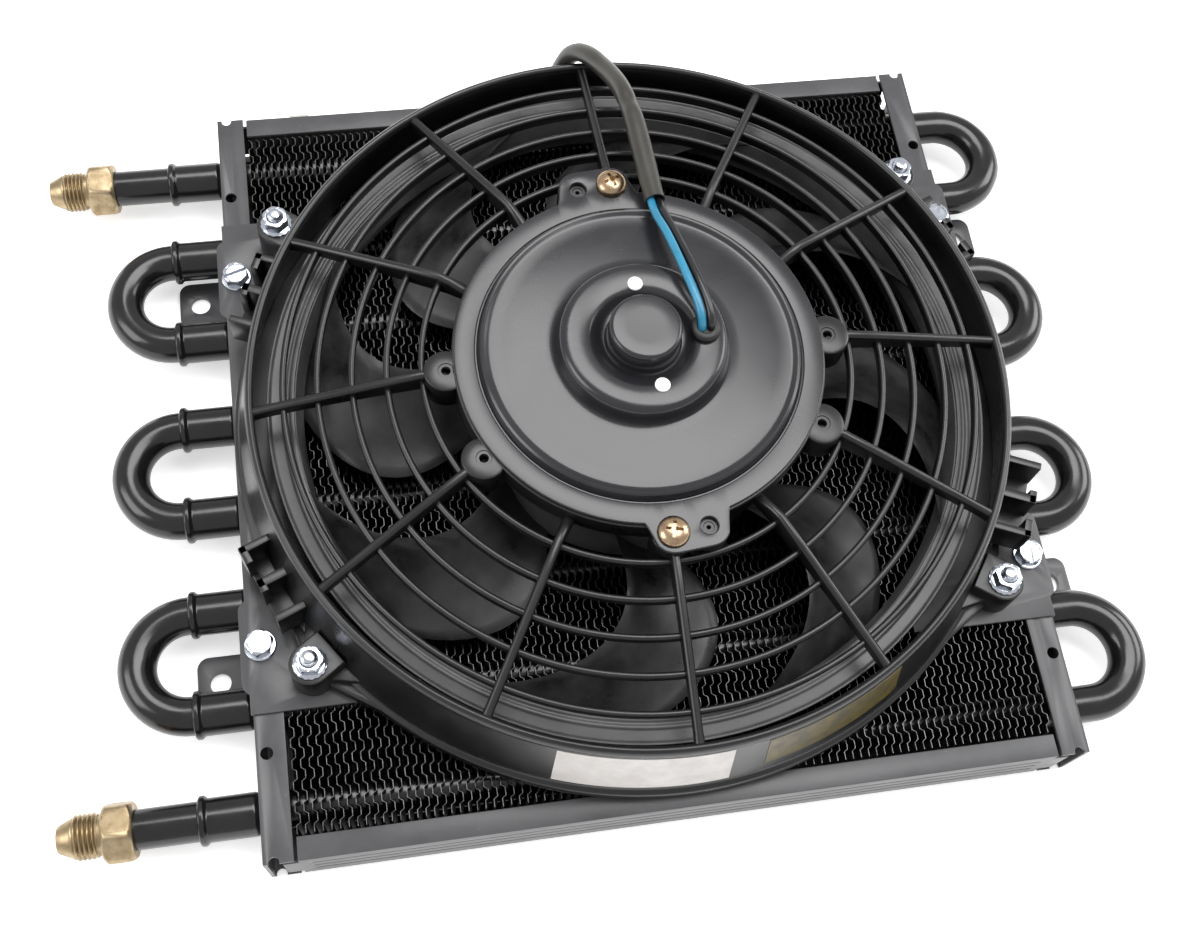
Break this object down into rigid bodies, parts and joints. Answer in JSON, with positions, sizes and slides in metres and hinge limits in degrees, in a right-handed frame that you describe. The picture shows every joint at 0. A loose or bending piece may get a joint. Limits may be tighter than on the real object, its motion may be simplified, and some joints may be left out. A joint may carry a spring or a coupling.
{
  "type": "hydraulic oil cooler",
  "caption": "Tube-and-fin oil cooler with looped tubes between two headers, flare fittings and a shrouded electric fan on its front.",
  "frame": {"origin": "centre of the cooler's back face, on the fan's axis, midway between the four ear holes", "axes": "+Z along the fan axis from the back face towards the fan, +X along the tubes away from the fittings, +Y towards the inlet"},
  "size_m": [0.3636, 0.2903, 0.0928],
  "materials": {
    "fin_sheet": "satin black paint, worn bright along the front edges",
    "black_steel": "satin black paint",
    "black_tube": "semi-gloss black paint",
    "brass": "machined, dull",
    "zinc_steel": "bright zinc plate",
    "yellow_zinc": "yellow zinc plate",
    "black_nylon": "moulded, fine grain",
    "black_motor_paint": "satin black enamel",
    "ferrite": "sintered, matt",
    "sintered_bronze": "oiled sintered bronze",
    "phenolic": "laminate",
    "carbon": "pressed carbon",
    "rubber": "moulded",
    "white_nylon": "moulded",
    "bright_steel": "ground",
    "lamination_steel": "stamped",
    "enamelled_copper": "enamelled wire",
    "copper": "turned copper",
    "white_label": "vinyl label, blank",
    "yellow_label": "vinyl label, blank",
    "blue_pvc": "PVC insulation",
    "black_pvc": "PVC insulation",
    "black_sleeve": "PVC sleeving",
    "tinned_brass": "tinned"
  },
  "bodies": {
    "cooler": {"fins": "fin_sheet", "header_left": "black_steel", "header_right": "black_steel", "rail_top": "black_steel", "rail_bottom": "black_steel", "hairpin_tubes": "black_tube", "return_bends": "black_tube", "inlet_stub": "black_tube", "outlet_stub": "black_tube", "inlet_fitting": "brass", "outlet_fitting": "brass", "fan_plate_left": "black_steel", "fan_plate_right": "black_steel", "plate_screws": "zinc_steel", "lug_studs": "zinc_steel", "lug_nuts": "zinc_steel", "fan_shroud": "black_nylon", "motor_end_plate": "black_motor_paint", "motor_case": "black_motor_paint", "motor_screws": "yellow_zinc", "magnets": "ferrite", "front_bearing": "sintered_bronze", "rear_bearing": "sintered_bronze", "brush_card": "phenolic", "brushes": "carbon", "brush_springs": "zinc_steel", "grommet": "rubber", "vent_plugs": "white_nylon", "rating_label": "white_label", "caution_label": "yellow_label", "lead_blue": "blue_pvc", "lead_black": "black_pvc", "lead_sleeve": "black_sleeve", "terminal_blue": "tinned_brass", "terminal_black": "tinned_brass"},
    "rotor": {"fan_rotor": "black_nylon", "motor_shaft": "bright_steel", "armature_core": "lamination_steel", "armature_windings": "enamelled_copper", "commutator": "copper", "drive_pin": "bright_steel", "hub_clip": "bright_steel"}
  },
  "joints": [
    {"name": "fan_spin", "type": "hinge", "parent": "cooler", "child": "rotor", "pos_m": [0, 0, 0.045], "axis": [0, 0, 1], "continuous": true}
  ]
}
